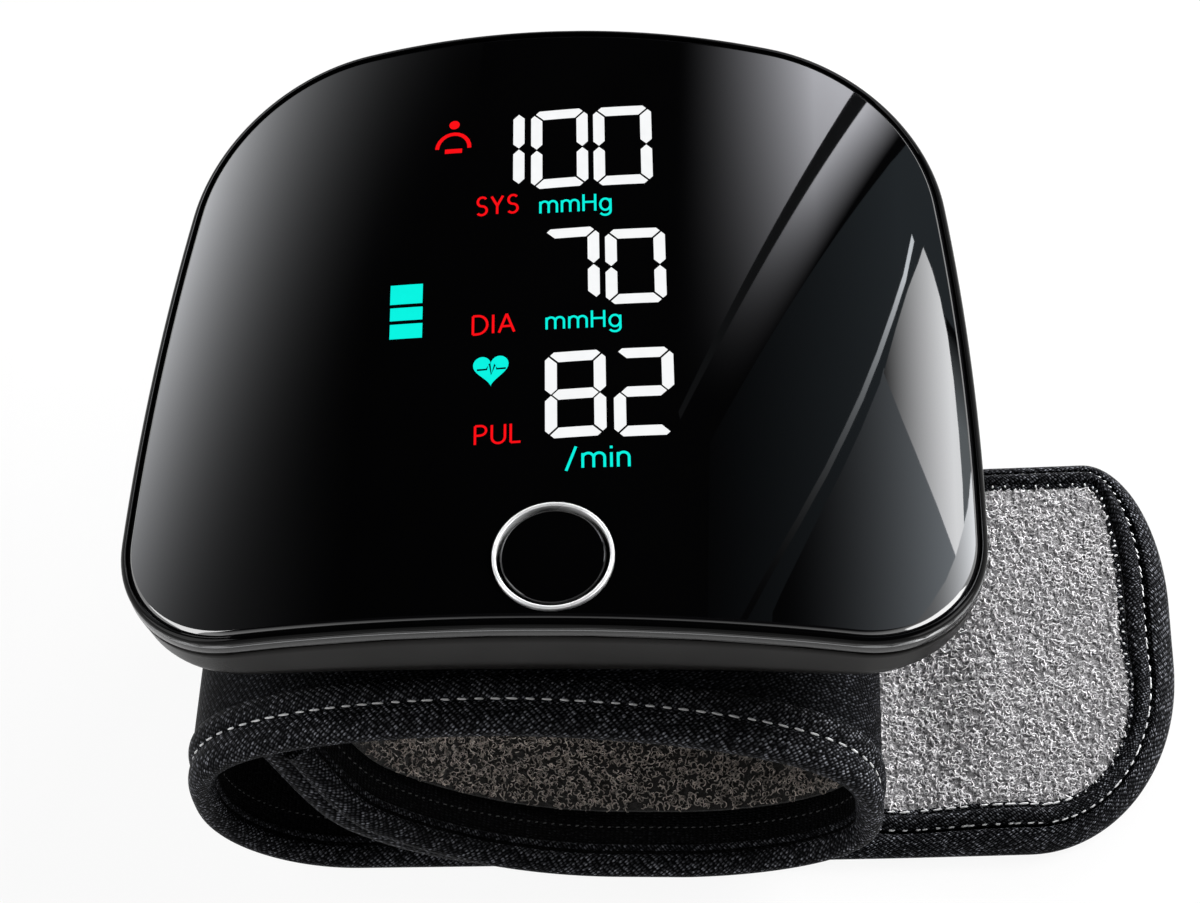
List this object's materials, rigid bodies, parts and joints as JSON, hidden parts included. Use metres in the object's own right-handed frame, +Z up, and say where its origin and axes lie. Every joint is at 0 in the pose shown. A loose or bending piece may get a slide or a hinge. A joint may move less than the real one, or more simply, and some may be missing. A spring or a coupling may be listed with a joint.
{
  "type": "wrist blood pressure monitor",
  "caption": "Curved gloss display unit with a round start button, clipped to a fabric cuff that is wrapped into a loop with its free end lying open; measures blood pressure at the wrist.",
  "frame": {"origin": "on the table, in the flat underside of the cuff, under the middle of the display unit", "axes": "+X to the right across the display, towards the cuff's free end; +Y away from the start button; +Z up"},
  "size_m": [0.1077, 0.0761, 0.0533],
  "materials": {
    "gloss_black": "high gloss",
    "band_grey": "satin",
    "case_grey": "satin, fine moulded grain",
    "bright_ring": "polished plating",
    "black_plastic": "moulded",
    "white_plastic": "moulded",
    "board_green": "lacquered board",
    "cell_foil": "pouch foil",
    "plain_steel": "plain",
    "soft_rubber": "soft",
    "clear_tube": "silicone",
    "stiffener_sheet": "plain sheet",
    "cover_cloth": "knitted, fine rib",
    "binding_tape": "woven tape, stitched",
    "pile_cloth": "curly loop pile",
    "hook_tape": "hook tape"
  },
  "bodies": {
    "unit": {"front_lens": "gloss_black", "bezel_ring": "gloss_black", "upper_case": "band_grey", "lower_case": "case_grey", "lens_gasket": "soft_rubber", "button_ring": "bright_ring", "switch_body": "black_plastic", "main_board": "board_green", "display_light_box": "white_plastic", "battery_cell": "cell_foil", "usb_socket": "plain_steel", "buzzer": "black_plastic", "pump_motor": "plain_steel", "pump_chamber": "white_plastic", "pump_diaphragm": "soft_rubber", "pump_cap": "white_plastic", "air_manifold": "white_plastic", "pump_tube": "clear_tube", "sensor_tube": "clear_tube", "pressure_sensor": "black_plastic", "valve_body": "plain_steel", "case_screw_1": "plain_steel", "case_screw_2": "plain_steel", "case_screw_3": "plain_steel", "case_screw_4": "plain_steel", "cuff_saddle": "black_plastic", "cuff_cover": "cover_cloth", "cuff_stiffener": "stiffener_sheet", "cuff_bladder": "soft_rubber", "cuff_lining": "pile_cloth", "cuff_binding_front": "binding_tape", "cuff_binding_back": "binding_tape", "hook_patch": "hook_tape"},
    "button": {"start_button": "gloss_black", "switch_plunger": "black_plastic"},
    "rotor": {"pump_rotor": "plain_steel"},
    "valve": {"valve_plunger": "soft_rubber"},
    "free_end": {"tail_cover": "cover_cloth", "tail_pile": "pile_cloth", "tail_binding": "binding_tape", "tail_piping": "binding_tape"}
  },
  "joints": [
    {"name": "button_press", "type": "slide", "parent": "unit", "child": "button", "axis": [0, 0, -1], "range_m": [0, 0.0005], "stiffness_N_per_m": 800, "springref_m": -0.0005},
    {"name": "pump_spin", "type": "hinge", "parent": "unit", "child": "rotor", "pos_m": [-0.0205, 0.009, 0.0441], "axis": [0, 1, 0], "continuous": true},
    {"name": "valve_slide", "type": "slide", "parent": "unit", "child": "valve", "axis": [0, -1, 0], "range_m": [0, 0.0008], "stiffness_N_per_m": 250, "springref_m": -0.0005},
    {"name": "free_end_fold", "type": "hinge", "parent": "unit", "child": "free_end", "pos_m": [0.033, -0.0105, 0.00325], "axis": [0, -1, 0], "range_deg": [0, 75]}
  ]
}
